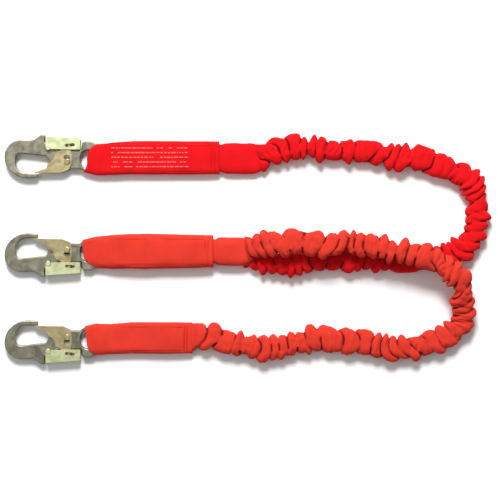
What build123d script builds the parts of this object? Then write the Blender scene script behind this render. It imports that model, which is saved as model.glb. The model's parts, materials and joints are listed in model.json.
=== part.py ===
"""Twin leg shock absorbing lanyard: three double locking snap hooks, three web ends in
protective sleeves, and two gathered elastic legs that share the centre end.

Millimetres, +Z up, lying flat on z = 0. The origin is on the floor under the eye bar of the
centre hook, +X runs from the hooks towards the legs, and +Y towards the upper hook.
"""

import os
from math import atan2, cos, degrees, radians, sin, tan

from build123d import *

os.makedirs("parts", exist_ok=True)

# Places of the three ends: the y of each hook's eye bar
UPPER_Y = 124.0
LOWER_Y = -116.0

# Snap hook, through its thickness
BODY_HALF = 3.8  # half the thickness of the forged body
SHEET = 1.4  # sheet metal of the gate and the lever
GATE_IN = 4.0  # inner faces of the gate's two cheeks
LEVER_IN = 5.7  # inner faces of the lever's two cheeks
HEAD_OUT = 8.3  # outer faces of the lever rivet's heads, which rest on the floor
MID_Z = HEAD_OUT  # height of a hook's middle plane
FORGED_ROUND = 1.6  # rounding of the forged edges

# Snap hook, in its own plane: x from the eye bar, y towards the gate
GATE_PIVOT = (-45.2, 3.3)
LEVER_PIVOT = (-70.0, -15.0)
LOCK_PIN = (-45.6, -18.0)
GATE_OPEN = 26.0  # degrees that the gate opens
LEVER_PRESS = 5.0  # degrees that the lever is pressed for that
GATE_RIVET_R = 2.5
LEVER_RIVET_R = 2.2
LOCK_PIN_R = 1.6
GATE_HEAD = (4.0, 5.5, 6.8)  # rivet head: its radius, and where it starts and ends
LEVER_HEAD = (3.4, 7.2, HEAD_OUT)
RUNNING = 0.06  # radial clearance of a pivot
PIN_PLAY = 0.4  # clearance of the lock pin in its slot
BAR_HALF = 4.3  # half the width of the eye bar

# Springs: one coil on each side of the body
GATE_COIL = (5.0, 0.55, 0.9, 1.5)  # coil radius, wire radius, start height, turns
LEVER_COIL = (3.4, 0.35, 3.95, 1.2)
POCKET_R = 6.3  # pocket in the body for the gate's coil
POCKET_FLOOR = 0.8
WINDOW_DROP = 5.9  # window in the gate's cheeks, below the pivot, that shows the coil
WINDOW_R = 2.6
WINDOW_RUN = 3.8  # between the centres of its two round ends

# Shallow panel forged into each face of the neck
PANEL_MIDDLE = (-32.4, 0.3)
PANEL_SIZE = (7.5, 15.0)
PANEL_DEPTH = 0.5
PANEL_ROUND = 1.2

# Webbing round the eye bar
PAD_T = 1.0
LOOP_T = 1.8
WEB_GAP = 0.15
PAD_WIDTH = 19.6
LOOP_WIDTH = 18.8

# Web ends and sleeves
END_X = 9.5  # where the web end starts, clear of the turning loop
SLEEVE_WALL = 1.6
TAPER = 22.0  # length over which a sleeve widens from the hook
THROAT = 33.0  # width of a sleeve at the hook
WEB_SIDE = 3.5  # room beside the web inside its sleeve
WEB_ROOM = 0.6  # room above and below it
TACKS = 5  # bar tacks in each web end
TACK = (2.0, 0.5)  # length and height of a tack
TACKS_START = 40.0
TACKS_INSET = 10.0  # from the sleeve's end to the last tack
TACK_SIDE = 4.0  # from a tack's end to the web's edge
LABEL_X = 65.0
LABEL_LENGTH = 106.0
LABEL_WIDTH = 36.0
LABEL_T = 0.4
LABEL_ROUND = 2.0

# Legs: a flattened tube with the shock absorbing core inside
LEG_W = 36.0
LEG_H = 22.0
LEG_WALL = 2.5
CORE_W = 26.0
CORE_H = 12.0
CORE_NECK = (22.0, 3.2)  # width and height of the core at its two ends
FLOOR_Z = LEG_H / 2 + 0.3  # centre of a leg that lies on the floor
OVER_Z = 35.0  # centre of a leg that lies on the other leg
ARC_SHARE = 0.45  # share of the shorter run that an arc takes at each corner

# Each leg: the neck where it leaves its web end, its route, and the neck at its other end
NECK_W = 34.0
NECK_H = 8.6
LEG_A = [
    (206, 127, 8.0),
    (234, 136, FLOOR_Z),
    (268, 138, FLOOR_Z),
    (304, 135, FLOOR_Z),
    (340, 135, FLOOR_Z),
    (377, 128, FLOOR_Z),
    (413, 124, FLOOR_Z),
    (448, 116, FLOOR_Z),
    (476, 106, FLOOR_Z),
    (494, 90, FLOOR_Z),
    (502, 68, FLOOR_Z),
    (500, 45, FLOOR_Z),
    (496, 24, FLOOR_Z),
    (482, 6, FLOOR_Z),
    (460, -6, FLOOR_Z),
    (433, -13, FLOOR_Z),
    (402, -14, FLOOR_Z),
    (369, -9, FLOOR_Z),
    (335, -7, FLOOR_Z),
    (304, -4, FLOOR_Z),
    (276, -10, FLOOR_Z),
    (248, -17, FLOOR_Z),
    (222, -13, FLOOR_Z),
    (194, -4, 5.0),
]
LEG_B = [
    (194, 5, 16.8),
    (222, 10, OVER_Z),
    (248, 14, OVER_Z),
    (279, 10, OVER_Z),
    (311, 11, OVER_Z),
    (343, 9, OVER_Z),
    (374, 5, OVER_Z),
    (404, -1, OVER_Z),
    (431, -6, OVER_Z),
    (454, -16, OVER_Z),
    (471, -33, OVER_Z),
    (479, -53, 29),
    (480, -74, 19),
    (477, -94, 12.5),
    (465, -110, FLOOR_Z),
    (444, -121, FLOOR_Z),
    (417, -126, FLOOR_Z),
    (386, -126, FLOOR_Z),
    (353, -120, FLOOR_Z),
    (321, -119, FLOOR_Z),
    (291, -116, FLOOR_Z),
    (264, -119, FLOOR_Z),
    (238, -127, FLOOR_Z),
    (211, -128, FLOOR_Z),
    (184, -123, FLOOR_Z),
    (160, -116, FLOOR_Z),
    (140, -113, FLOOR_Z),
    (121, -112, 8.0),
]


def turned(point, pivot, angle):
    """The point after a turn about the pivot, in a hook's plane."""
    dx = point[0] - pivot[0]
    dy = point[1] - pivot[1]
    c = cos(radians(angle))
    s = sin(radians(angle))
    return (pivot[0] + c * dx - s * dy, pivot[1] + s * dx + c * dy)


def rounded(points, mode=Mode.ADD):
    """A filled polygon of (x, y, corner radius) points, drawn in the sketch at hand."""
    with BuildLine() as edge:
        corners = [(x, y) for x, y, _ in points]
        FilletPolyline(corners, radius=[r for _, _, r in points], close=True)
    make_face(edge.edges(), mode=mode)


def finish(shape, name):
    """Label a finished piece and write it under its own name."""
    shape.label = name
    export_step(shape, f"parts/{name}.step")


# The snap hook


def hook_body(frame):
    """The forged body: bowl, nose, neck and the eye ring with its straight bar."""
    outline = [
        (-84.2, 24.9, 2.3),
        (-108, 26.6, 33),
        (-129.2, 9, 27),
        (-128.2, -14, 20),
        (-114, -26, 19),
        (-90, -25.4, 7),
        (-79.6, -32.8, 2.4),
        (-74.6, -32.8, 2.2),
        (-74.6, -21.8, 1.5),
        (-62, -21.8, 4),
        (-57, -12.5, 4),
        (-26.4, -12.5, 1.5),
        (-24.8, -23.6, 3),
        (-13, -24.2, 6),
        (BAR_HALF, -12.5, 5),
        (BAR_HALF, 12, 5),
        (-6, 18, 5),
        (-20, 18, 5),
        (-28, 12.9, 4),
        (-40, 12.6, 5),
        (-52, 8.5, 5),
        (-60, 7.4, 4),
        (-69.5, 3.6, 3),
        (-72.6, -3.9, 3),
        (-113.6, -8.6, 7),
        (-113.6, 10, 12),
        (-106, 18, 12),
        (-84.2, 19.4, 2.3),
    ]
    eye = [(-27.6, -12, 10), (-BAR_HALF, -12, 2), (-BAR_HALF, 12, 2), (-27.6, 12, 10)]
    with BuildPart() as body:
        with BuildSketch(frame):
            rounded(outline)
            rounded(eye, mode=Mode.SUBTRACT)
        extrude(amount=BODY_HALF, both=True)
        flats = body.faces().sort_by(Axis.Z)
        fillet(flats[0].edges() + flats[-1].edges(), radius=FORGED_ROUND)
        with BuildSketch(frame):
            with Locations(GATE_PIVOT):
                Circle(GATE_RIVET_R + RUNNING)
            with Locations(LEVER_PIVOT):
                Circle(LEVER_RIVET_R + RUNNING)
        extrude(amount=BODY_HALF, both=True, mode=Mode.SUBTRACT)
        for side in (-1, 1):
            with BuildSketch(frame.offset(side * POCKET_FLOOR)):
                with Locations(GATE_PIVOT):
                    Circle(POCKET_R)
            extrude(amount=side * BODY_HALF, mode=Mode.SUBTRACT)
            with BuildSketch(frame.offset(side * (BODY_HALF - PANEL_DEPTH))):
                with Locations(PANEL_MIDDLE):
                    RectangleRounded(*PANEL_SIZE, PANEL_ROUND)
            extrude(amount=side * BODY_HALF, mode=Mode.SUBTRACT)
    return body.part


def channel(frame, cheek, web, inner, cuts):
    """A folded sheet channel: two cheeks and the web that joins them along one edge.

    Each cut is (centre, radius, length, slant): a round hole, or a slot where it has a length.
    """
    with BuildPart() as sheet:
        for side in (-1, 1):
            with BuildSketch(frame.offset(side * inner)):
                rounded(cheek)
                for centre, radius, length, slant in cuts:
                    with Locations(centre):
                        if length:
                            SlotCenterToCenter(length, 2 * radius, slant, mode=Mode.SUBTRACT)
                        else:
                            Circle(radius, mode=Mode.SUBTRACT)
            extrude(amount=side * SHEET)
        with BuildSketch(frame):
            rounded(web)
        extrude(amount=inner + SHEET, both=True)
    return sheet.part


def gate(frame):
    """The gate: its web shuts the throat, and its tail carries the lock pin."""
    cheek = [
        (-88, 18.3, 0.3),
        (-52, 17.7, 3),
        (-42.5, 13.4, 3),
        (-38.8, 6, 3),
        (-38.8, -3, 4),
        (-41.2, -20.8, 2),
        (-50, -20.8, 2),
        (-54, -11, 3),
        (-60.5, -8.5, 3),
        (-63.5, 1, 3),
        (-70, 5.6, 2),
        (-72.8, 12, 2),
        (-86, 16.6, 0.3),
    ]
    web = [(-88, 18.3, 0.4), (-54, 17.73, 0.4), (-54, 16.3, 0.4), (-88, 16.9, 0.4)]
    window = (GATE_PIVOT[0], GATE_PIVOT[1] - WINDOW_DROP)
    cuts = [
        (GATE_PIVOT, GATE_RIVET_R + RUNNING, 0, 0),
        (LOCK_PIN, LOCK_PIN_R, 0, 0),
        (window, WINDOW_R, WINDOW_RUN, 0),
    ]
    return channel(frame, cheek, web, GATE_IN, cuts)


def lock_lever(frame):
    """The lever on the back of the hook, with the slanted slot that the lock pin runs in."""
    cheek = [
        (-73.4, -13.4, 2.5),
        (-27.6, -12.6, 1.5),
        (-27.6, -27.2, 1.5),
        (-73.4, -30.4, 1.5),
    ]
    web = [(-73.4, -30.4, 0.6), (-27.6, -27.2, 0.6), (-27.6, -25.8, 0.3), (-73.4, -29, 0.3)]
    opened = turned(LOCK_PIN, GATE_PIVOT, GATE_OPEN)
    slot_end = turned(opened, LEVER_PIVOT, -LEVER_PRESS)
    run = Vector(*slot_end) - Vector(*LOCK_PIN)
    middle = ((LOCK_PIN[0] + slot_end[0]) / 2, (LOCK_PIN[1] + slot_end[1]) / 2)
    slant = degrees(atan2(run.Y, run.X))
    cuts = [
        (LEVER_PIVOT, LEVER_RIVET_R + RUNNING, 0, 0),
        (middle, LOCK_PIN_R + PIN_PLAY, run.length, slant),
    ]
    return channel(frame, cheek, web, LEVER_IN, cuts)


def rivet(frame, centre, shank_r, head_r, head_in, head_out):
    """A rivet across the hook, with a domed head on each side."""
    with BuildPart() as pin:
        with BuildSketch(frame):
            with Locations(centre):
                Circle(shank_r)
        extrude(amount=head_in, both=True)
        for side in (-1, 1):
            with BuildSketch(frame.offset(side * head_in)):
                with Locations(centre):
                    Circle(head_r)
            extrude(amount=side * (head_out - head_in))
        ends = pin.faces().sort_by(Axis.Z)
        fillet(ends[0].edges() + ends[-1].edges(), radius=0.7 * (head_out - head_in))
    return pin.part


def lock_pin(frame):
    """The cross pin, pressed into the gate's tail and running in the lever's two slots."""
    with BuildPart() as pin:
        with BuildSketch(frame):
            with Locations(LOCK_PIN):
                Circle(LOCK_PIN_R)
        extrude(amount=LEVER_IN + SHEET + 0.5, both=True)
        ends = pin.faces().sort_by(Axis.Z)
        chamfer(ends[0].edges() + ends[-1].edges(), length=0.3)
    return pin.part


def coils(frame, centre, coil_r, wire_r, low, turns):
    """A double torsion spring: a coil round the rivet on each side of the body."""
    pitch = 2.1 * wire_r
    with BuildPart() as spring:
        for side in (-1, 1):
            seat = frame.offset(side * (low + wire_r)).from_local_coords(Vector(*centre))
            with BuildLine() as coil:
                Helix(pitch, turns * pitch, coil_r, center=seat, direction=side * frame.z_dir)
            with BuildSketch(Plane(coil.line @ 0, z_dir=coil.line % 0)):
                Circle(wire_r)
            sweep(path=coil.line, is_frenet=True)
    return spring.part


def web_ring(frame, gap, thickness, width):
    """Webbing turned round the eye bar, with a gap to it, square to the hook's plane."""
    across = Plane(frame.origin, x_dir=frame.x_dir, z_dir=(0, 1, 0))
    with BuildPart() as ring:
        with BuildSketch(across):
            for grow, mode in ((gap + thickness, Mode.ADD), (gap, Mode.SUBTRACT)):
                RectangleRounded(
                    2 * (BAR_HALF + grow), 2 * (BODY_HALF + grow), FORGED_ROUND + grow, mode=mode
                )
        extrude(amount=width / 2, both=True)
    return ring.part


# The web ends and sleeves


def sleeve(y, length, width, end_width, height):
    """The flat fabric tube over a web end, narrower at the hook."""
    with BuildPart() as tube:
        for inset, low, mode in ((0, 0, Mode.ADD), (SLEEVE_WALL, SLEEVE_WALL, Mode.SUBTRACT)):
            start = END_X if mode == Mode.ADD else END_X - 1
            end = length if mode == Mode.ADD else length + 1
            with BuildSketch(Plane.XY.offset(low)):
                with BuildLine() as edge:
                    Polyline(
                        (start, y - THROAT / 2 + inset),
                        (END_X + TAPER, y - width / 2 + inset),
                        (end, y - end_width / 2 + inset),
                        (end, y + end_width / 2 - inset),
                        (END_X + TAPER, y + width / 2 - inset),
                        (start, y + THROAT / 2 - inset),
                        close=True,
                    )
                make_face(edge.edges())
            extrude(amount=height - 2 * low, mode=mode)
        sides = tube.edges().filter_by(lambda e: abs(e.tangent_at(0.5).X) > 0.5)
        outer = sides.filter_by(lambda e: e.center().Z < 0.01 or e.center().Z > height - 0.01)
        fillet(outer, radius=SLEEVE_WALL - 0.2)
    return tube.part


def end_web(y, length, width, low, high):
    """The sewn plies of webbing that run from the loop through the sleeve to the legs."""
    with BuildPart() as web:
        with BuildSketch(Plane.XY.offset(low)):
            with BuildLine() as edge:
                Polyline(
                    (END_X, y - THROAT / 2 + WEB_SIDE),
                    (END_X + TAPER, y - width / 2),
                    (length, y - NECK_W / 2),
                    (length, y + NECK_W / 2),
                    (END_X + TAPER, y + width / 2),
                    (END_X, y + THROAT / 2 - WEB_SIDE),
                    close=True,
                )
            make_face(edge.edges())
        extrude(amount=high - low)
    return web.part


def stitching(y, start, end, width, top):
    """Bar tacks across the sewn plies."""
    with BuildPart() as tacks:
        step = (end - start) / TACKS
        for n in range(TACKS):
            with BuildSketch(Plane.XY.offset(top)):
                with Locations((start + (n + 0.5) * step, y)):
                    Rectangle(TACK[0], width)
            extrude(amount=TACK[1])
    return tacks.part


def label_panel(y, top):
    """The thin label sewn on top of a sleeve."""
    with BuildPart() as label:
        with BuildSketch(Plane.XY.offset(top)):
            with Locations((LABEL_X, y)):
                RectangleRounded(LABEL_LENGTH, LABEL_WIDTH, LABEL_ROUND)
        extrude(amount=LABEL_T)
    return label.part


# The legs


def corner_radii(points):
    """Each corner's arc: a fixed share of its shorter run, whatever its turn."""
    radii = []
    for before, here, after in zip(points, points[1:], points[2:]):
        way_in = Vector(*here) - Vector(*before)
        way_out = Vector(*after) - Vector(*here)
        turn = radians(way_in.get_angle(way_out))
        radii.append(ARC_SHARE * min(way_in.length, way_out.length) / tan(turn / 2))
    return radii


def leg_tube(route, width, height, neck_w, neck_h, wall=0):
    """A flattened tube along the route, with a tapered neck at each end; solid with no wall."""
    inner = route[1:-1]
    with BuildLine() as path:
        FilletPolyline(inner, radius=corner_radii(inner))
    line = path.wire()
    runs = []
    for edge in line.edges():
        with BuildSketch(level_plane(edge.position_at(0), edge.tangent_at(0))) as section:
            flat_ring(width, height, wall)
        runs.append(sweep(section.sketch, path=edge, mode=Mode.PRIVATE))
    first = level_plane(line.position_at(0), line.tangent_at(0))
    last = level_plane(line.position_at(1), -line.tangent_at(1))
    with BuildPart() as tube:
        for end, tip in ((first, route[0]), (last, route[-1])):
            mouth = level_plane(tip, (1, 0, 0))
            for inset, mode in ((0, Mode.ADD), (wall, Mode.SUBTRACT)):
                if mode == Mode.SUBTRACT and not wall:
                    continue
                with BuildSketch(mouth) as narrow:
                    SlotOverall(neck_w - 2 * inset, neck_h - 2 * inset)
                with BuildSketch(end) as wide:
                    SlotOverall(width - 2 * inset, height - 2 * inset)
                loft([narrow.sketch.face(), wide.sketch.face()], mode=mode)
        add(runs)
    return tube.part


def level_plane(point, way):
    """A plane square to a way, whose own x is level."""
    way = Vector(*way).normalized()
    return Plane(Vector(*point), x_dir=Vector(0, 0, 1).cross(way), z_dir=way)


def flat_ring(width, height, wall):
    """The section of a leg: a flattened ring, or a flattened disc where it has no wall."""
    SlotOverall(width, height)
    if wall:
        SlotOverall(width - 2 * wall, height - 2 * wall, mode=Mode.SUBTRACT)


# The three hooks, each in its own frame: the upper one lies on its other face

HOOKS = {
    "upper": Plane((0, UPPER_Y, MID_Z), x_dir=(1, 0, 0), z_dir=(0, 0, -1)),
    "center": Plane((0, 0, MID_Z), x_dir=(1, 0, 0), z_dir=(0, 0, 1)),
    "lower": Plane((0, LOWER_Y, MID_Z), x_dir=(1, 0, 0), z_dir=(0, 0, 1)),
}
for side, frame in HOOKS.items():
    finish(hook_body(frame), f"{side}_hook_body")
    finish(gate(frame), f"{side}_gate")
    finish(rivet(frame, GATE_PIVOT, GATE_RIVET_R, *GATE_HEAD), f"{side}_gate_rivet")
    finish(coils(frame, GATE_PIVOT, *GATE_COIL), f"{side}_gate_spring")
    finish(lock_lever(frame), f"{side}_lock_lever")
    finish(rivet(frame, LEVER_PIVOT, LEVER_RIVET_R, *LEVER_HEAD), f"{side}_lever_rivet")
    finish(coils(frame, LEVER_PIVOT, *LEVER_COIL), f"{side}_lever_spring")
    finish(lock_pin(frame), f"{side}_lock_pin")
    finish(web_ring(frame, WEB_GAP, PAD_T, PAD_WIDTH), f"{side}_wear_pad")
    finish(web_ring(frame, 2 * WEB_GAP + PAD_T, LOOP_T, LOOP_WIDTH), f"{side}_web_loop")

# The three web ends: y, sleeve's end, sleeve's widths, its height, and the web's end
ENDS = {
    "upper": (126.0, 157.0, 45.0, 44.0, 16.0, 206.0),
    "center": (1.5, 149.0, 47.0, 43.0, 22.0, 194.0),
    "lower": (-113.8, 121.0, 42.0, 41.0, 16.0, 121.0),
}
for side, (y, sleeve_end, width, end_width, height, web_end) in ENDS.items():
    low = SLEEVE_WALL + WEB_ROOM
    high = height - low
    web_width = end_width - 2 * WEB_SIDE
    finish(sleeve(y, sleeve_end, width, end_width, height), f"{side}_sleeve")
    finish(end_web(y, web_end, web_width, low, high), f"{side}_end_web")
    tacks = stitching(y, TACKS_START, sleeve_end - TACKS_INSET, web_width - 2 * TACK_SIDE, high)
    finish(tacks, f"{side}_stitching")
    if side == "upper":
        finish(label_panel(y, height), "upper_label")

# The two legs
for name, route in (("upper_leg", LEG_A), ("lower_leg", LEG_B)):
    radii = corner_radii(route[1:-1])
    print(name, "corner radii", [round(r) for r in radii])
    finish(leg_tube(route, LEG_W, LEG_H, NECK_W, NECK_H, LEG_WALL), f"{name}_jacket")
    finish(leg_tube(route, CORE_W, CORE_H, *CORE_NECK), f"{name}_core")
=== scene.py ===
"""Looks of the shock absorbing lanyard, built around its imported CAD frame. Metres, +Z up."""

import json
from math import pi

import bpy
import numpy as np
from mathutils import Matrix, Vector


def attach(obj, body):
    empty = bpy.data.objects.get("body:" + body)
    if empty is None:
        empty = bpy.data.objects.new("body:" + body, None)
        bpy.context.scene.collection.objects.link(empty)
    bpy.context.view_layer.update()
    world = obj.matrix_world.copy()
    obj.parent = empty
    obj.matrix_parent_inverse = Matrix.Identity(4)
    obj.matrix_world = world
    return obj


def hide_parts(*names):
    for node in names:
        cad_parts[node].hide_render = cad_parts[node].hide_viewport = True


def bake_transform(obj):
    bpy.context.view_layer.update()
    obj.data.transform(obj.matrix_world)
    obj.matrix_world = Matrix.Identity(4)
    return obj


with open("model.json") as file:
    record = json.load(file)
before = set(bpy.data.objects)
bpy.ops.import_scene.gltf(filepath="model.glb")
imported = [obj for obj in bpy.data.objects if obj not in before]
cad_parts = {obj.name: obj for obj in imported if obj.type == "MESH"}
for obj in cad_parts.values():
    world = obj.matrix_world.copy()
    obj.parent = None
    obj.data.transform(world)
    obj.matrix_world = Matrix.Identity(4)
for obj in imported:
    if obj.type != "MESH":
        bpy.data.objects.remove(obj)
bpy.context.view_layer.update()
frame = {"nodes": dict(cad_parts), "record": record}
MM = 0.001

# The three ends, in mm: the hook's turn over, y of its eye bar and colour, the sleeve's middle y, its
# end, its widths and its height, and the neck's end
ENDS = {
    "upper": dict(flip=-1, y=124, tint="bright", mid=126, end=157, wide=(45, 44), high=16, neck=212),
    "center": dict(flip=1, y=0, tint="orange", mid=1.5, end=149, wide=(47, 43), high=22, neck=200),
    "lower": dict(flip=1, y=-116, tint="orange", mid=-113.8, end=121, wide=(42, 41), high=16, neck=127),
}
MID_Z = 8.3  # height of the hooks' middle plane

# Routes of the legs in mm, as in the CAD model
FLOOR_Z = 11.3
OVER_Z = 35.0
LEG_A = [
    (206, 127, 8.0),
    (234, 136, FLOOR_Z),
    (268, 138, FLOOR_Z),
    (304, 135, FLOOR_Z),
    (340, 135, FLOOR_Z),
    (377, 128, FLOOR_Z),
    (413, 124, FLOOR_Z),
    (448, 116, FLOOR_Z),
    (476, 106, FLOOR_Z),
    (494, 90, FLOOR_Z),
    (502, 68, FLOOR_Z),
    (500, 45, FLOOR_Z),
    (496, 24, FLOOR_Z),
    (482, 6, FLOOR_Z),
    (460, -6, FLOOR_Z),
    (433, -13, FLOOR_Z),
    (402, -14, FLOOR_Z),
    (369, -9, FLOOR_Z),
    (335, -7, FLOOR_Z),
    (304, -4, FLOOR_Z),
    (276, -10, FLOOR_Z),
    (248, -17, FLOOR_Z),
    (222, -13, FLOOR_Z),
    (194, -4, 5.0),
]
LEG_B = [
    (194, 5, 16.8),
    (222, 10, OVER_Z),
    (248, 14, OVER_Z),
    (279, 10, OVER_Z),
    (311, 11, OVER_Z),
    (343, 9, OVER_Z),
    (374, 5, OVER_Z),
    (404, -1, OVER_Z),
    (431, -6, OVER_Z),
    (454, -16, OVER_Z),
    (471, -33, OVER_Z),
    (479, -53, 29),
    (480, -74, 19),
    (477, -94, 12.5),
    (465, -110, FLOOR_Z),
    (444, -121, FLOOR_Z),
    (417, -126, FLOOR_Z),
    (386, -126, FLOOR_Z),
    (353, -120, FLOOR_Z),
    (321, -119, FLOOR_Z),
    (291, -116, FLOOR_Z),
    (264, -119, FLOOR_Z),
    (238, -127, FLOOR_Z),
    (211, -128, FLOOR_Z),
    (184, -123, FLOOR_Z),
    (160, -116, FLOOR_Z),
    (140, -113, FLOOR_Z),
    (121, -112, 8.0),
]

# Gathers, in mm
RING_STEP = 1.0 * MM
AROUND = 112
FOLD_LENGTHS = (9, 24)  # shortest and longest cross fold
FINE_LENGTHS = (5, 12)  # the same for the fine folds
LOBE_HEIGHTS = (0.3, 1.15)  # lowest and highest lobe, as shares of LOBE
FOLD_WANDER = 1.1  # folds that a valley moves by at either edge
HALF_WIDTH = 14.4
LOBE = 8.6  # how far a lobe of average height stands out from a notch
NOTCH = 2.8
FINE_FOLD = 1.9
SOFTEN = ((-1, 0.25), (0, 0.5), (1, 0.25))  # mean over neighbouring rings
TUCK = 2.2  # narrow creases where the cloth is drawn in between two folds
TUCK_WIDTH = 1.0
HALF_HEIGHT = 10.3
SWAY = 2.6  # how far the tube wanders to the sides of its route
SECTION_POWER = 0.86  # below 1, the section is fuller than an ellipse
NECK_LENGTH = 10.0
RISE_LIMIT = 2.2  # how far a crest stands above the tube, clear of the leg that lies over it
FLOOR_SKIN = 0.0004  # lowest cloth of a leg, in metres


# Meshes


def mesh_object(name, vertices, faces, smooth=True):
    mesh = bpy.data.meshes.new(name)
    mesh.from_pydata([tuple(v) for v in vertices], [], faces)
    mesh.validate()
    if smooth:
        mesh.polygons.foreach_set("use_smooth", [True] * len(mesh.polygons))
    obj = bpy.data.objects.new(name, mesh)
    bpy.context.scene.collection.objects.link(obj)
    return obj


def grid_faces(rings, around, closed=True, caps=True):
    """Quads between rings of points, and a face over each open end."""
    faces = []
    last = around if closed else around - 1
    for i in range(rings - 1):
        for j in range(last):
            k = (j + 1) % around
            faces.append((i * around + j, i * around + k, (i + 1) * around + k, (i + 1) * around + j))
    if caps and closed:
        faces.append(tuple(range(around))[::-1])
        faces.append(tuple((rings - 1) * around + j for j in range(around)))
    return faces


def smooth_noise(rng, count, length, scale):
    """One smooth random line over a length: values every scale, joined by a cosine curve."""
    knots = rng.uniform(-1, 1, int(length / scale) + 3)
    t = np.linspace(0, length / scale, count)
    i = t.astype(int)
    f = t - i
    f = (1 - np.cos(f * pi)) / 2
    return knots[i] * (1 - f) + knots[i + 1] * f


def ring_noise(rng, rings, around, length, scale, spots):
    """Smooth random field over a tube's surface, which closes round it."""
    rows = int(length / scale) + 3
    knots = rng.uniform(-1, 1, (rows, spots))
    t = np.linspace(0, length / scale, rings)
    i = t.astype(int)
    f = ((1 - np.cos((t - i) * pi)) / 2)[:, None]
    u = np.linspace(0, spots, around, endpoint=False)
    j = u.astype(int)
    g = ((1 - np.cos((u - j) * pi)) / 2)[None, :]
    k = (j + 1) % spots
    low = knots[i][:, j] * (1 - g) + knots[i][:, k] * g
    high = knots[i + 1][:, j] * (1 - g) + knots[i + 1][:, k] * g
    return low * (1 - f) + high * f


# Routes


def spine(route):
    """Points along the smooth curve that has the route's points as its control points."""
    curve = bpy.data.curves.new("route", "CURVE")
    curve.dimensions = "3D"
    curve.resolution_u = 24
    line = curve.splines.new("NURBS")
    line.points.add(len(route) - 1)
    for point, place in zip(line.points, route):
        point.co = (place[0] * MM, place[1] * MM, place[2] * MM, 1)
    line.order_u = 3
    line.use_endpoint_u = True
    holder = bpy.data.objects.new("route", curve)
    bpy.context.scene.collection.objects.link(holder)
    drawn = bpy.data.meshes.new_from_object(holder)
    points = np.array([v.co for v in drawn.vertices], float)
    bpy.data.objects.remove(holder)
    bpy.data.curves.remove(curve)
    bpy.data.meshes.remove(drawn)
    return points


def evenly(points, step):
    """The same line with points a step apart, and its length."""
    runs = np.linalg.norm(np.diff(points, axis=0), axis=1)
    along = np.concatenate([[0], np.cumsum(runs)])
    count = int(round(along[-1] / step)) + 1
    wanted = np.linspace(0, along[-1], count)
    return np.stack([np.interp(wanted, along, points[:, k]) for k in range(3)], 1), along[-1]


def fold_phase(rng, along, low, high):
    """A count that grows by one at each gather, with gathers of uneven length."""
    marks = [0.0]
    while marks[-1] < along[-1] + high:
        marks.append(marks[-1] + rng.uniform(low, high))
    return np.interp(along, marks, np.arange(len(marks)))


def crest(phase):
    """Round crests with sharp valleys between them, from 0 to 1."""
    return np.abs(np.sin(pi * phase)) ** 0.6


def uneven_crest(rng, phase, low, high):
    """Crests that each have a height of their own."""
    heights = rng.uniform(low, high, int(phase.max()) + 2)
    return crest(phase) * heights[np.maximum(phase, 0).astype(int)]


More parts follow.
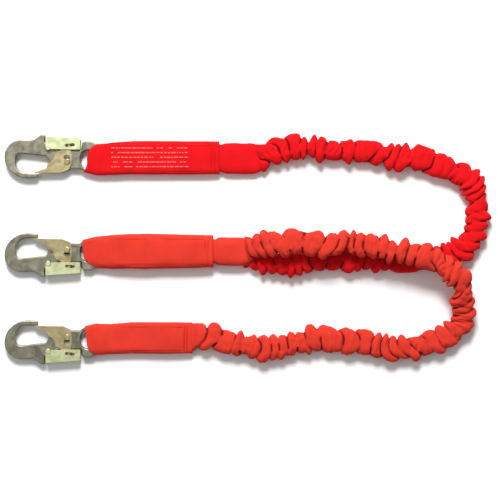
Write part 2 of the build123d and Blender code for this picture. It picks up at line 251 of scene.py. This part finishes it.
def ruffled_leg(name, route, seed, pinches, necks):
    """The gathered jacket: a flattened tube whose cloth bunches into uneven cross folds."""
    rng = np.random.default_rng(seed)
    line, length = evenly(spine(route), RING_STEP)
    rings = len(line)
    along = np.linspace(0, length / MM, rings)
    way = np.gradient(line, axis=0)
    way /= np.linalg.norm(way, axis=1)[:, None]
    side = np.cross((0, 0, 1), way)
    side /= np.linalg.norm(side, axis=1)[:, None]
    up = np.cross(way, side)
    angle = np.linspace(0, 2 * pi, AROUND, endpoint=False)
    c, s = np.cos(angle)[None, :], np.sin(angle)[None, :]

    # Folds run across; at the two edges they stand out as lobes, each with its own width and height
    across = fold_phase(rng, along, *FOLD_LENGTHS)[:, None]
    left = across + FOLD_WANDER * smooth_noise(rng, rings, length / MM, 55)[:, None]
    right = across + FOLD_WANDER * smooth_noise(rng, rings, length / MM, 55)[:, None]
    share = 0.5 + 0.5 * c
    lean = left * share + right * (1 - share)
    lean = lean + 0.3 * ring_noise(rng, rings, AROUND, length / MM, 30, 4)
    lobe = uneven_crest(rng, lean, *LOBE_HEIGHTS) * share
    lobe = lobe + uneven_crest(rng, lean, *LOBE_HEIGHTS) * (1 - share)
    fine = fold_phase(rng, along, *FINE_LENGTHS)[:, None]
    fine = fine + 0.7 * ring_noise(rng, rings, AROUND, length / MM, 18, 6)
    patch = np.clip(0.55 + 0.9 * ring_noise(rng, rings, AROUND, length / MM, 20, 7), 0.1, 1.2)
    edge = np.abs(c) ** 1.4
    bulge = edge * (LOBE * lobe - NOTCH) + (1 - edge) * (2.0 * lobe - 0.9)
    bulge += FINE_FOLD * patch * (crest(fine) - 0.75)
    bulge += 0.5 * ring_noise(rng, rings, AROUND, length / MM, 6, 15)
    bulge = sum(part * np.roll(bulge, shift, axis=0) for shift, part in SOFTEN)
    from_valley = np.abs(lean - np.round(lean)) / np.maximum(np.gradient(lean, axis=0), 0.02)
    tucked = np.clip(0.25 + 1.7 * ring_noise(rng, rings, AROUND, length / MM, 15, 8), 0, 1)
    tuck = tucked * np.exp(-((from_valley / TUCK_WIDTH) ** 2))
    bulge -= TUCK * tuck

    # The tube under the folds: pinched to a neck here and there, plain at its two ends
    half_w = HALF_WIDTH + 1.4 * smooth_noise(rng, rings, length / MM, 40)
    half_h = HALF_HEIGHT + 0.4 * smooth_noise(rng, rings, length / MM, 30)
    for place, share, spread in pinches:
        dip = np.exp(-(((along - place * along[-1]) / spread) ** 2))
        half_w = half_w * (1 - share * dip)
    calm = np.ones(rings)
    for end, (neck_w, neck_h) in zip((0, 1), necks):
        from_end = along if end == 0 else along[-1] - along
        t = np.clip(from_end / NECK_LENGTH, 0, 1)
        t = t * t * (3 - 2 * t)
        half_w = neck_w * (1 - t) + half_w * t
        half_h = neck_h * (1 - t) + half_h * t
        calm *= np.clip(from_end / (0.7 * NECK_LENGTH), 0, 1) ** 0.8
    bulge = bulge * calm[:, None]

    # Superellipse section, whose cloth moves out from its middle
    x = np.sign(c) * np.abs(c) ** SECTION_POWER
    z = np.sign(s) * np.abs(s) ** SECTION_POWER
    sway = SWAY * smooth_noise(rng, rings, length / MM, 27) * calm
    off_x = half_w[:, None] * x + bulge * c + sway[:, None]
    off_z = half_h[:, None] * z + np.minimum(bulge * np.abs(s), RISE_LIMIT) * np.sign(s)
    points = (
        line[:, None, :]
        + side[:, None, :] * (off_x * MM)[:, :, None]
        + up[:, None, :] * (off_z * MM)[:, :, None]
    )
    # The cloth that meets the floor lies flat on it
    points[:, :, 2] = np.maximum(points[:, :, 2], FLOOR_SKIN)
    obj = mesh_object(name, points.reshape(-1, 3), grid_faces(rings, AROUND))
    # Painted shade: a value per point, low in fold valleys and tucks, that darkens the cloth's colour
    # there, where shade falls
    painted_fold_shade = obj.data.attributes.new("painted_fold_shade", "FLOAT", "POINT")
    tone = np.clip(0.5 + bulge / 7 - 0.22 * tuck, 0, 1)
    painted_fold_shade.data.foreach_set("value", tone.reshape(-1).astype(np.float32))
    return obj, line, length


# Sleeves and necks

SLEEVE_RINGS = 150
SLEEVE_AROUND = 72
SLEEVE_CLOTH = 1.3
SLEEVE_FLOOR = 0.35  # lowest cloth of a sleeve
SQUARE_Y = 0.42  # powers of the sleeve's section: the smaller, the squarer
SQUARE_Z = 0.62
NECK_START = 12  # how far a neck reaches back into its sleeve
NECK_TAPER = 14  # length over which its end narrows


def sleeve_form(end, x, lateral):
    """A sleeve's middle height, half height and half width on that side, at x."""
    full = end["wide"][0] / 2
    tail = end["wide"][1] / 2
    full_h = end["high"] / 2
    places = (-25, -13, -5, 6, 22, end["end"] - 6, end["end"])
    half_h = np.interp(x, places, (5.9, 6.9, 8.1, 8.1, full_h, full_h, 0.84 * full_h))
    middle = np.interp(x, (-8, 24), (MID_Z, end["high"] / 2))
    rise = np.interp(x, (-25, -7, 14, 60, end["end"]), (17.0, 21.5, full - 0.5, full, tail))
    fall = np.interp(x, (-25, -8, 14, 60, end["end"]), (17.0, 20.5, full - 0.8, full, tail))
    half_w = np.where(lateral > 0, rise, fall)
    return middle, half_h, half_w


def sleeve_shell(end, inset):
    """Points of one wall of a sleeve: rings along x, round the flat tube."""
    angle = np.linspace(0, 2 * pi, SLEEVE_AROUND, endpoint=False)
    c, s = np.cos(angle)[None, :], np.sin(angle)[None, :]
    lateral = np.sign(c) * np.abs(c) ** SQUARE_Y
    level = np.sign(s) * np.abs(s) ** SQUARE_Z
    left = np.interp(lateral, *zip(*end["left"]))
    t = np.linspace(0, 1, SLEEVE_RINGS)[:, None]
    x = left + (end["end"] - left) * t
    middle, half_h, half_w = sleeve_form(end, x, lateral)
    shift = np.interp(x, (0, 40), (end["y"], end["mid"]))
    rng = np.random.default_rng(SEEDS[end["side"]])
    length = end["end"] + 25
    waves = ring_noise(rng, SLEEVE_RINGS, SLEEVE_AROUND, length, 34, 7) * 0.75
    waves += ring_noise(rng, SLEEVE_RINGS, SLEEVE_AROUND, length, 12, 15) * 0.3
    for place, deep, wide in end["creases"]:
        bend = place + 1.5 * np.sin(lateral * 2.3)
        waves -= deep * np.exp(-(((x - bend) / wide) ** 2))
    y = shift + end["flip"] * lateral * (half_w - inset + 0.35 * waves)
    z = middle + level * (half_h - inset + waves)
    z = np.maximum(z, SLEEVE_FLOOR + inset)
    return np.stack([x + 0 * y, y, z], 2) * MM


def sleeve_top(end, x, y):
    """Height of a sleeve's upper cloth over a place, without its waves."""
    shift = np.interp(x, (0, 40), (end["y"], end["mid"]))
    lateral = (y - shift) * end["flip"]
    middle, half_h, half_w = sleeve_form(end, x, lateral)
    share = np.clip(np.abs(lateral) / half_w, 0, 0.999) ** (1 / SQUARE_Y)
    return middle + half_h * (1 - share**2) ** (SQUARE_Z / 2)


def make_sleeve(end):
    """The protective sleeve, which also covers the web loop over the hook's eye."""
    outer = sleeve_shell(end, 0)
    inner = sleeve_shell(end, SLEEVE_CLOTH)[::-1]
    points = np.concatenate([inner, outer], 0)
    rings = len(points)
    faces = grid_faces(rings, SLEEVE_AROUND, caps=False)
    last = (rings - 1) * SLEEVE_AROUND
    for j in range(SLEEVE_AROUND):
        k = (j + 1) % SLEEVE_AROUND
        faces.append((last + j, last + k, k, j))
    return mesh_object(end["side"] + "_sleeve_cloth", points.reshape(-1, 3), faces)


def make_neck(end):
    """The smooth webbing between a sleeve and the gathers."""
    around, rings = 64, 60
    angle = np.linspace(0, 2 * pi, around, endpoint=False)
    c, s = np.cos(angle)[None, :], np.sin(angle)[None, :]
    t = np.linspace(0, 1, rings)[:, None]
    start = end["end"] - NECK_START
    x = start + (end["neck"] - start) * t
    rng = np.random.default_rng(SEEDS[end["side"]] + 50)
    waves = ring_noise(rng, rings, around, end["neck"] - start, 11, 9) * 0.45
    half_w, half_h = end["neck_half"]
    grip = 1 - 0.13 * np.exp(-(((x - end["end"] - 2) / 4) ** 2))
    swell = 1 + 0.10 * np.sin(pi * t) ** 2
    taper = np.clip((x - end["neck"] + NECK_TAPER) / NECK_TAPER, 0, 1)
    half_w = half_w * (1 - 0.24 * taper**2)
    y0 = end["mid"] + (end["exit_y"] - end["mid"]) * t
    y = y0 + np.sign(c) * np.abs(c) ** 0.6 * (half_w * grip + waves)
    z = end["high"] / 2 * 0.98 + np.sign(s) * np.abs(s) ** 0.8 * (half_h * swell * grip + waves)
    z = np.maximum(z, 0.5)
    points = np.stack([x + 0 * y, y, z], 2) * MM
    return mesh_object(end["side"] + "_neck_web", points.reshape(-1, 3), grid_faces(rings, around))


def strips(name, end, places, lift, thick):
    """Small raised bars on a sleeve's top: each place is (x0, x1, y0, y1)."""
    vertices, faces = [], []
    for x0, x1, y0, y1 in places:
        base = len(vertices)
        steps = max(2, int((x1 - x0) / 3) + 1)
        for x in np.linspace(x0, x1, steps):
            for y in (y0, y1):
                z = float(sleeve_top(end, x, y)) + lift
                vertices.append((x * MM, y * MM, (z + thick) * MM))
            for y in (y1, y0):
                z = float(sleeve_top(end, x, y)) + lift
                vertices.append((x * MM, y * MM, (z - 0.8) * MM))
        for i in range(steps - 1):
            for j in range(4):
                k = (j + 1) % 4
                a = base + 4 * i
                faces.append((a + j, a + 4 + j, a + 4 + k, a + k))
        faces.append((base, base + 1, base + 2, base + 3))
        e = base + 4 * (steps - 1)
        faces.append((e + 3, e + 2, e + 1, e))
    return mesh_object(name, vertices, faces, smooth=False)


LABEL_ROWS = 5
LABEL_PITCH = 6.2
LABEL_SPAN = (14.0, 114, 118)  # where a row starts, where its last bar may start, and its end
BAR_HALF = 0.75


def label_bars(end):
    """Generic rows of bars where a label is printed: no lettering."""
    rng = np.random.default_rng(7)
    places = []
    start, last, stop = LABEL_SPAN
    for row in range(LABEL_ROWS):
        y = end["mid"] + 12.5 - row * LABEL_PITCH
        x = start
        while x < last:
            long = rng.uniform(1.6, 6.5)
            if rng.uniform() > 0.12:
                places.append((x, min(x + long, stop), y - BAR_HALF, y + BAR_HALF))
            x += long + rng.uniform(0.8, 1.6)
    return strips("upper_label_bars", end, places, 0.55, 0.12)


STITCH = 2.7
STITCH_PITCH = 4.2
THREAD_HALF = 0.35


def stitch_rows(end):
    """Rows of thread: two across the sleeve near its end, and one along each of its sides."""
    places = []
    y_half = end["wide"][1] / 2 - 5
    for x in (end["end"] - 7, end["end"] - 10.5):
        for y in np.arange(end["mid"] - y_half, end["mid"] + y_half, STITCH_PITCH):
            places.append((x - THREAD_HALF, x + THREAD_HALF, y, y + STITCH))
    for y in (end["mid"] - y_half, end["mid"] + y_half):
        for x in np.arange(20, end["end"] - 14, STITCH_PITCH):
            places.append((x, x + STITCH, y - THREAD_HALF, y + THREAD_HALF))
    return strips(end["side"] + "_thread", end, places, 0.35, 0.3)


# Materials


def new_material(name, colour, roughness, metallic=0.0, sheen=0.0):
    material = bpy.data.materials.new(name)
    material.use_nodes = True
    tree = material.node_tree
    shader = tree.nodes["Principled BSDF"]
    shader.inputs["Base Color"].default_value = (*colour, 1)
    shader.inputs["Roughness"].default_value = roughness
    shader.inputs["Metallic"].default_value = metallic
    shader.inputs["Sheen Weight"].default_value = sheen
    return material, tree, shader


def node(tree, kind, **values):
    made = tree.nodes.new(kind)
    for key, value in values.items():
        if key in made.inputs:
            made.inputs[key].default_value = value
        else:
            setattr(made, key, value)
    return made


def ramp(tree, source, stops):
    made = tree.nodes.new("ShaderNodeValToRGB")
    bar = made.color_ramp
    while len(bar.elements) < len(stops):
        bar.elements.new(0.5)
    for element, (place, colour) in zip(bar.elements, stops):
        element.position = place
        element.color = (*colour, 1)
    tree.links.new(source, made.inputs["Fac"])
    return made


def shaded(colour, factor):
    return tuple(min(1, c * factor) for c in colour)


WEAVE_SCALE = 314  # wave texture scale at which a thread is 1 mm wide


def cloth(name, colour, thread=1.1, paint_fold_shade=False):
    """Woven polyester: over-and-under threads, slow colour change, and painted shade darkening the fold
    bottoms.
    """
    material, tree, shader = new_material(name, colour, 0.88, sheen=0.02)
    shader.inputs["Sheen Roughness"].default_value = 0.5
    shader.inputs["Specular IOR Level"].default_value = 0.1
    place = node(tree, "ShaderNodeTexCoord")
    scale = WEAVE_SCALE / thread
    across = node(tree, "ShaderNodeTexWave", bands_direction="X", Scale=scale)
    along = node(tree, "ShaderNodeTexWave", bands_direction="Y", Scale=scale)
    slow = node(tree, "ShaderNodeTexNoise", Scale=45.0, Detail=5.0)
    for texture in (across, along, slow):
        tree.links.new(place.outputs["Object"], texture.inputs["Vector"])
    weave = node(tree, "ShaderNodeMath", operation="MULTIPLY")
    tree.links.new(across.outputs["Fac"], weave.inputs[0])
    tree.links.new(along.outputs["Fac"], weave.inputs[1])
    tones = ramp(tree, slow.outputs["Fac"], [(0.3, shaded(colour, 0.90)), (0.7, shaded(colour, 1.06))])
    lit = node(tree, "ShaderNodeMix", data_type="RGBA", blend_type="MULTIPLY")
    lit.inputs["Factor"].default_value = 1.0
    dark = ramp(tree, weave.outputs[0], [(0.0, (0.86, 0.86, 0.86)), (0.35, (1, 1, 1))])
    tree.links.new(tones.outputs["Color"], lit.inputs["A"])
    tree.links.new(dark.outputs["Color"], lit.inputs["B"])
    result = lit.outputs["Result"]
    # Painted shade: the leg's per-point fold value darkens the colour in fold valleys and tucks
    if paint_fold_shade:
        depth = node(tree, "ShaderNodeAttribute", attribute_name="painted_fold_shade")
        fold_shade_ramp = ramp(tree, depth.outputs["Fac"], [(0.16, (0.26, 0.18, 0.22)), (0.43, (1, 1, 1))])
        deep = node(tree, "ShaderNodeMix", data_type="RGBA", blend_type="MULTIPLY")
        deep.inputs["Factor"].default_value = 1.0
        tree.links.new(result, deep.inputs["A"])
        tree.links.new(fold_shade_ramp.outputs["Color"], deep.inputs["B"])
        result = deep.outputs["Result"]
    tree.links.new(result, shader.inputs["Base Color"])
    bump = node(tree, "ShaderNodeBump", Strength=0.5, Distance=0.0003)
    tree.links.new(weave.outputs[0], bump.inputs["Height"])
    tree.links.new(bump.outputs["Normal"], shader.inputs["Normal"])
    return material


def plated(name, tones, roughness, grain=0.00012):
    """Plated steel: patchy plating colour, uneven gloss and a fine surface grain."""
    material, tree, shader = new_material(name, tones[1], roughness, metallic=0.9)
    place = node(tree, "ShaderNodeTexCoord")
    patches = node(tree, "ShaderNodeTexNoise", Scale=95.0, Detail=6.0, Distortion=0.8)
    fine = node(tree, "ShaderNodeTexNoise", Scale=1400.0, Detail=3.0)
    for texture in (patches, fine):
        tree.links.new(place.outputs["Object"], texture.inputs["Vector"])
    spread = [(0.3 + 0.4 * i / (len(tones) - 1), tone) for i, tone in enumerate(tones)]
    colour = ramp(tree, patches.outputs["Fac"], spread)
    tree.links.new(colour.outputs["Color"], shader.inputs["Base Color"])
    gloss = node(tree, "ShaderNodeMapRange")
    gloss.inputs["To Min"].default_value = roughness - 0.08
    gloss.inputs["To Max"].default_value = roughness + 0.14
    tree.links.new(patches.outputs["Fac"], gloss.inputs["Value"])
    tree.links.new(gloss.outputs["Result"], shader.inputs["Roughness"])
    bump = node(tree, "ShaderNodeBump", Strength=0.6, Distance=grain)
    tree.links.new(fine.outputs["Fac"], bump.inputs["Height"])
    tree.links.new(bump.outputs["Normal"], shader.inputs["Normal"])
    return material


BRIGHT = (0.66, 0.005, 0.008)
ORANGE = (0.64, 0.036, 0.021)
ZINC_TONES = [(0.15, 0.14, 0.10), (0.23, 0.22, 0.165), (0.31, 0.295, 0.225)]
YELLOW_TONES = [(0.42, 0.29, 0.17), (0.48, 0.40, 0.21), (0.52, 0.49, 0.28)]
PALE_TONES = [(0.56, 0.59, 0.30), (0.66, 0.70, 0.40), (0.74, 0.76, 0.48)]
SPRING_TONES = [(0.06, 0.04, 0.02), (0.14, 0.09, 0.04), (0.30, 0.21, 0.08)]
MATERIALS = {
    "red_web": cloth("red_gathered_web", BRIGHT, paint_fold_shade=True),
    "orange_red_web": cloth("orange_red_gathered_web", ORANGE, paint_fold_shade=True),
    "red_sleeve": cloth("red_sleeve_cloth", BRIGHT, thread=0.9),
    "orange_red_sleeve": cloth("orange_red_sleeve_cloth", ORANGE, thread=0.9),
    "core_web": cloth("core_web", (0.80, 0.74, 0.58), thread=1.4),
    "thread": cloth("seam_thread", (0.60, 0.016, 0.018), thread=0.6),
    "label_print": cloth("label_print", (0.72, 0.14, 0.13), thread=0.7),
    "zinc_steel": plated("zinc_steel", ZINC_TONES, 0.38),
    "yellow_zinc": plated("yellow_zinc", YELLOW_TONES, 0.32),
    "pale_zinc": plated("pale_zinc", PALE_TONES, 0.34),
    "spring_steel": plated("spring_steel", SPRING_TONES, 0.35),
}


def paint(obj, slot):
    obj.data.materials.clear()
    obj.data.materials.append(MATERIALS[slot])


for part in frame["record"]["subparts"]:
    cad = frame["nodes"][part["node"]]
    cad.data.materials.clear()
    cad.data.materials.append(MATERIALS[part["material_slot"]])

# Pieces

SEEDS = {"upper": 11, "center": 12, "lower": 13}
# Creases across each sleeve: x, depth and width in mm
CREASES = {
    "upper": [(9, 0.7, 2.0), (147, 0.8, 2.2), (152, 0.9, 1.6)],
    "center": [(7, 0.6, 2.0), (138, 0.8, 2.0), (143, 1.0, 1.6)],
    "lower": [(9, 1.0, 1.6), (13, 0.5, 1.4), (112, 1.1, 1.5), (116, 0.8, 1.5)],
}
# Each sleeve's edge over its hook: share of its half width, and x in mm
LEFT = {
    "upper": ((-1, -6), (-0.7, -15), (-0.3, -18.5), (0.4, -18.5), (0.8, -21), (1, -23)),
    "center": ((-1, -7), (-0.75, -17), (-0.45, -23), (0, -23.6), (1, -25)),
    "lower": ((-1, -7), (-0.75, -15), (-0.4, -18.5), (0.3, -19.5), (1, -22)),
}
NECK_HALF = {"upper": (20.5, 6.4), "center": (18.8, 9.2), "lower": (19.0, 6.6)}
EXIT_Y = {"upper": 124.5, "center": 1.0, "lower": -112.0}
for side, end in ENDS.items():
    end.update(side=side, creases=CREASES[side], left=LEFT[side])
    end.update(neck_half=NECK_HALF[side], exit_y=EXIT_Y[side])
    kind = "red" if end["tint"] == "bright" else "orange_red"
    cover = make_sleeve(end)
    paint(cover, kind + "_sleeve")
    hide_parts(side + "_sleeve")
    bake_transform(cover)
    neck = make_neck(end)
    paint(neck, kind + "_sleeve")
    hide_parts(side + "_end_web")
    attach(neck, "root")
    thread = stitch_rows(end)
    paint(thread, "thread")
    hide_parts(side + "_stitching")
    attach(thread, "root")

bars = label_bars(ENDS["upper"])
paint(bars, "label_print")
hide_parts("upper_label")
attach(bars, "root")

# Where each leg is drawn in, or let out where the share is below 0: share of its length, share of its
# width, and spread in mm
PINCHES = {
    "upper_leg": [(0.105, 0.36, 5), (0.175, 0.2, 4), (0.253, 0.28, 5), (0.305, 0.3, 4.5), (0.47, 0.32, 5)],
    "lower_leg": [
        (0.1, -0.2, 11),
        (0.187, 0.2, 4),
        (0.232, 0.24, 5),
        (0.277, 0.28, 4.5),
        (0.428, 0.34, 5),
        (0.795, 0.3, 5),
        (0.897, 0.36, 5),
    ],
}
# Route, seed, colour, length, and the half width and half height of the neck at either end
LEGS = {
    "upper_leg": (LEG_A, 21, "red_web", 0.68, ((18.5, 6.2), (17, 4.3))),
    "lower_leg": (LEG_B, 22, "orange_red_web", 0.73, ((17, 4.3), (18.5, 6.2))),
}
for name, (route, seed, slot, length, necks) in LEGS.items():
    jacket, line, drawn = ruffled_leg(name + "_gathers", route, seed, PINCHES[name], necks)
    print(name, "length", round(drawn, 4))
    paint(jacket, slot)
    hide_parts(name + "_jacket", name + "_core")
    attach(jacket, "root")

# Stage: a pale floor, soft light from above the upper hook's side, and a camera straight above

VIEW_WIDTH = 0.665
VIEW_CENTRE = (0.1978, 0.0033)
LENS = 100
SENSOR = 36

floor_mesh = bpy.data.meshes.new("floor")
floor_mesh.from_pydata([(-4, -4, 0), (4, -4, 0), (4, 4, 0), (-4, 4, 0)], [], [(0, 1, 2, 3)])
floor = bpy.data.objects.new("floor", floor_mesh)
bpy.context.scene.collection.objects.link(floor)
floor_material, _, _ = new_material("floor", (0.93, 0.93, 0.93), 0.9)
floor_mesh.materials.append(floor_material)

world = bpy.data.worlds.new("studio")
world.use_nodes = True
around = node(world.node_tree, "ShaderNodeTexCoord")
height = node(world.node_tree, "ShaderNodeSeparateXYZ")
world.node_tree.links.new(around.outputs["Generated"], height.inputs["Vector"])
sky = ramp(world.node_tree, height.outputs["Z"], [(0.15, (0.10, 0.10, 0.10)), (0.75, (1, 1, 1))])
backdrop = world.node_tree.nodes["Background"]
world.node_tree.links.new(sky.outputs["Color"], backdrop.inputs["Color"])
backdrop.inputs["Strength"].default_value = 0.40
bpy.context.scene.world = world


def area_light(name, place, size, energy):
    lamp = bpy.data.lights.new(name, "AREA")
    lamp.size = size
    lamp.energy = energy
    holder = bpy.data.objects.new(name, lamp)
    holder.location = place
    aim = Vector((0.2, 0, 0)) - Vector(place)
    holder.rotation_euler = aim.to_track_quat("-Z", "Y").to_euler()
    bpy.context.scene.collection.objects.link(holder)


area_light("key", (0.0, 1.8, 2.0), 0.9, 112)
area_light("fill", (-1.2, 0.2, 2.0), 1.5, 6)

camera = bpy.data.cameras.new("camera")
camera.lens = LENS
camera.sensor_width = SENSOR
viewer = bpy.data.objects.new("camera", camera)
viewer.location = (*VIEW_CENTRE, 0.01 + VIEW_WIDTH * LENS / SENSOR)
bpy.context.scene.collection.objects.link(viewer)
bpy.context.scene.camera = viewer
bpy.context.scene.view_settings.view_transform = "Standard"
